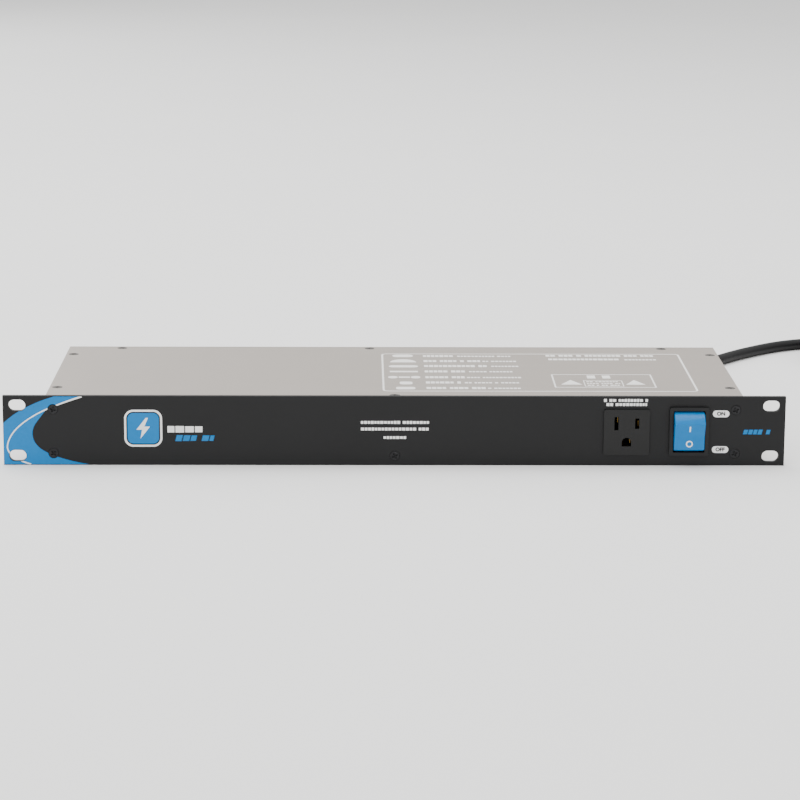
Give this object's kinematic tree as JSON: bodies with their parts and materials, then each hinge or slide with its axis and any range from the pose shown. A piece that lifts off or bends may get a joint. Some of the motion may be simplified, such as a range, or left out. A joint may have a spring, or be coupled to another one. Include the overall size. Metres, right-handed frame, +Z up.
{
  "type": "rack power strip",
  "caption": "Rack-mount power strip: shallow steel chassis behind a wide slotted panel, front outlet, lit rocker switch, rear outlets, breaker and mains lead.",
  "frame": {"origin": "centre of the chassis underside, at the level the unit rests on", "axes": "+X along the rack to the right seen from the front, +Y from the front panel to the back, +Z up"},
  "size_m": [0.6693, 0.3783, 0.0437],
  "materials": {
    "anodised_panel": "black anodised, satin",
    "painted_chassis": "fine textured light grey powder coat",
    "black_screw": "black oxide",
    "zinc_screw": "bright zinc plate",
    "outlet_plastic": "moulded thermoplastic, satin",
    "black_nylon": "moulded nylon, satin",
    "blue_lens": "translucent moulded polycarbonate",
    "lamp": "clear",
    "brass": "bright",
    "spring_steel": "drawn wire",
    "nickel_nut": "nickel plate",
    "circuit_board": "solder mask",
    "ferrite": "lacquered copper winding over ferrite",
    "capacitor_film": "moulded box",
    "varistor_disc": "epoxy dip",
    "white_wire": "PVC",
    "green_wire": "PVC",
    "cord_jacket": "smooth PVC jacket",
    "plug_vinyl": "moulded PVC"
  },
  "bodies": {
    "chassis": {"front_panel": "anodised_panel", "base_tray": "painted_chassis", "top_cover": "painted_chassis", "panel_screw_1": "black_screw", "panel_screw_2": "black_screw", "panel_screw_3": "black_screw", "panel_screw_4": "black_screw", "panel_screw_5": "black_screw", "cover_screw_1": "zinc_screw", "cover_screw_2": "zinc_screw", "cover_screw_3": "zinc_screw", "cover_screw_4": "zinc_screw", "cover_screw_5": "zinc_screw", "cover_screw_6": "zinc_screw", "cover_screw_7": "zinc_screw", "cover_screw_8": "zinc_screw", "front_outlet": "outlet_plastic", "rear_outlet_1": "outlet_plastic", "rear_outlet_2": "outlet_plastic", "rear_outlet_3": "outlet_plastic", "rear_outlet_4": "outlet_plastic", "rear_outlet_5": "outlet_plastic", "rear_outlet_6": "outlet_plastic", "rear_outlet_7": "outlet_plastic", "rear_outlet_8": "outlet_plastic", "front_outlet_neutral_contact": "brass", "neutral_bus": "brass", "front_outlet_line_contact": "brass", "line_bus": "brass", "front_outlet_ground_contact": "brass", "ground_bus": "brass", "switch_housing": "black_nylon", "switch_terminal_1": "brass", "switch_terminal_2": "brass", "switch_terminal_3": "brass", "switch_lamp": "lamp", "breaker_body": "black_nylon", "breaker_nut": "nickel_nut", "filter_board": "circuit_board", "filter_choke": "ferrite", "filter_capacitor": "capacitor_film", "surge_varistor": "varistor_disc", "ground_screw": "zinc_screw", "line_wire": "black_nylon", "neutral_wire": "white_wire", "ground_wire": "green_wire", "strain_relief": "black_nylon", "power_cord": "cord_jacket", "cord_coil": "cord_jacket", "cord_tail": "cord_jacket", "cord_tie": "black_nylon", "plug_body": "plug_vinyl", "plug_line_blade": "brass", "plug_neutral_blade": "brass", "plug_ground_pin": "brass"},
    "rocker": {"rocker": "blue_lens", "plunger": "outlet_plastic", "plunger_spring": "spring_steel"},
    "contact_lever": {"contact_lever": "brass"},
    "breaker_button": {"breaker_button": "outlet_plastic"}
  },
  "joints": [
    {"name": "rocker_press", "type": "hinge", "parent": "chassis", "child": "rocker", "pos_m": [0.1817, -0.0749, 0.02185], "axis": [-1, 0, 0], "range_deg": [0, 30]},
    {"name": "contact_swing", "type": "hinge", "parent": "chassis", "child": "contact_lever", "pos_m": [0.1817, -0.0645, 0.02185], "axis": [-1, 0, 0], "range_deg": [-16, 0]},
    {"name": "breaker_reset", "type": "slide", "parent": "chassis", "child": "breaker_button", "axis": [0, 1, 0], "range_m": [0, 0.003]}
  ],
  "couplings": [
    {"joint": "contact_swing", "follows": "rocker_press", "ratio": -0.53333}
  ]
}
